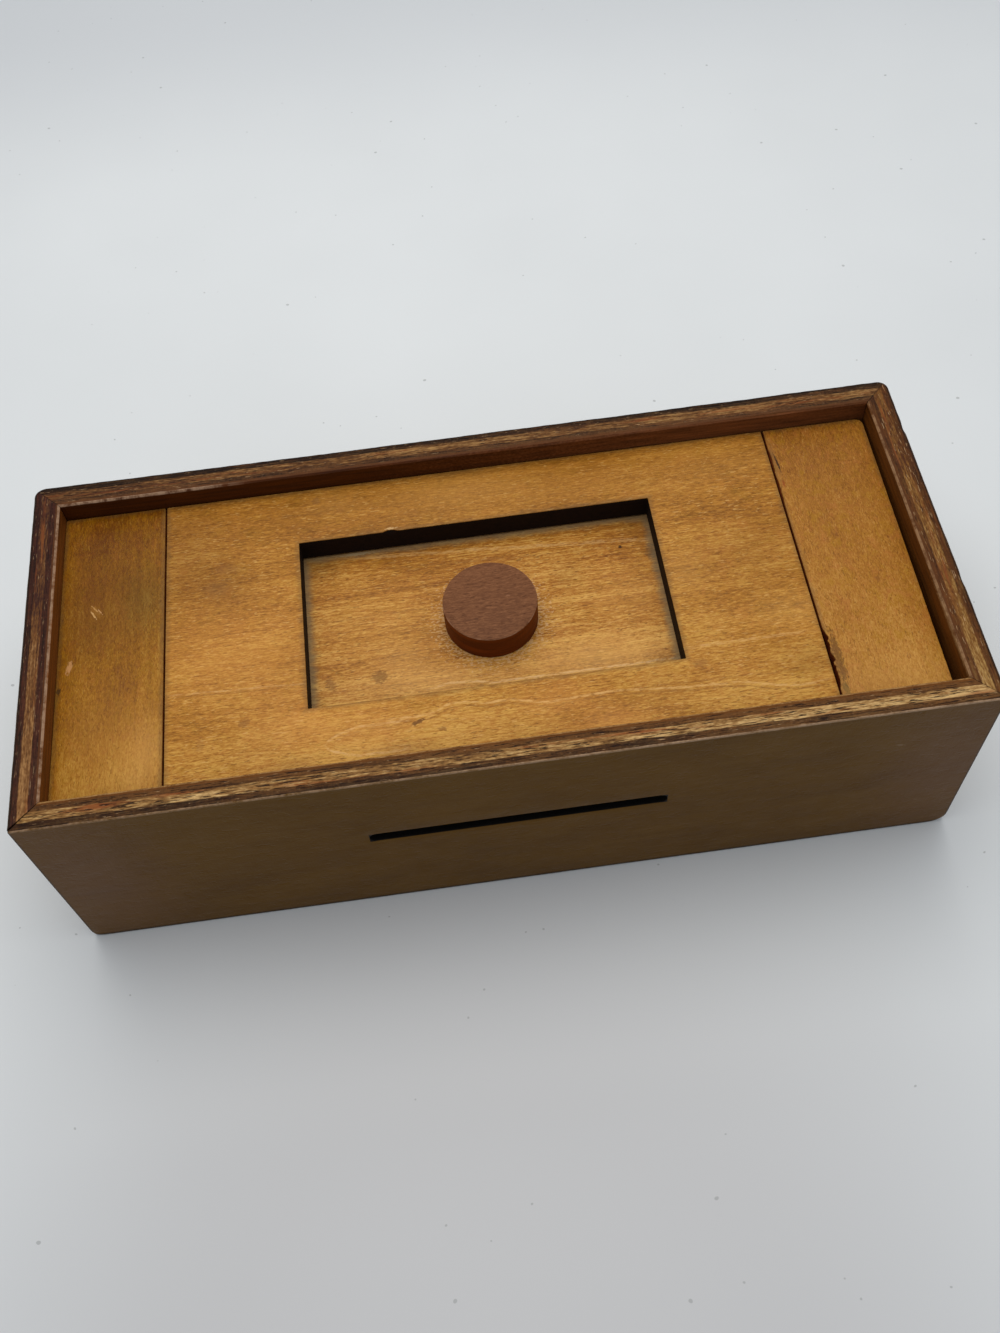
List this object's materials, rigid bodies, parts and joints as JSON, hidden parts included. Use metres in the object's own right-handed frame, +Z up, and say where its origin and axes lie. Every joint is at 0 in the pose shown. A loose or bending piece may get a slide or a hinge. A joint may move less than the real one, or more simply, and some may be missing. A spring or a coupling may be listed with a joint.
{
  "type": "sliding lid wooden box",
  "caption": "Long mitred plywood box with a note slot in front, a windowed deck, a knob that slides under it and a lift-out lid and key strip.",
  "frame": {"origin": "middle of the footprint, on the resting face", "axes": "+X along the length to the right, +Y to the back wall, +Z up"},
  "size_m": [0.2, 0.088, 0.056],
  "materials": {
    "wall_ply": "dark stained plywood under clear varnish",
    "deck_ply": "golden brown stained plywood under satin varnish",
    "slide_ply": "golden brown stained plywood, open grained",
    "inner_ply": "bare plywood",
    "knob_wood": "red brown stained hardwood",
    "dowel_wood": "bare beech"
  },
  "bodies": {
    "case": {"front_wall": "wall_ply", "back_wall": "wall_ply", "left_wall": "wall_ply", "right_wall": "wall_ply", "bottom_panel": "inner_ply", "front_slide_ledge": "inner_ply", "back_slide_ledge": "inner_ply", "front_lid_ledge": "inner_ply", "back_lid_ledge": "inner_ply", "left_end_strip": "deck_ply"},
    "slide": {"slide_panel": "slide_ply", "knob": "knob_wood", "knob_dowel": "dowel_wood"},
    "lid": {"lid_panel": "deck_ply"},
    "key": {"key_strip": "deck_ply"}
  },
  "joints": [
    {"name": "knob_slide", "type": "slide", "parent": "case", "child": "slide", "axis": [1, 0, 0], "range_m": [-0.0268, 0.0258]},
    {"name": "lid_lift", "type": "slide", "parent": "case", "child": "lid", "axis": [0, 0, 1], "range_m": [0, 0.055]},
    {"name": "key_strip_lift", "type": "slide", "parent": "case", "child": "key", "axis": [0, 0, 1], "range_m": [0, 0.075]}
  ]
}
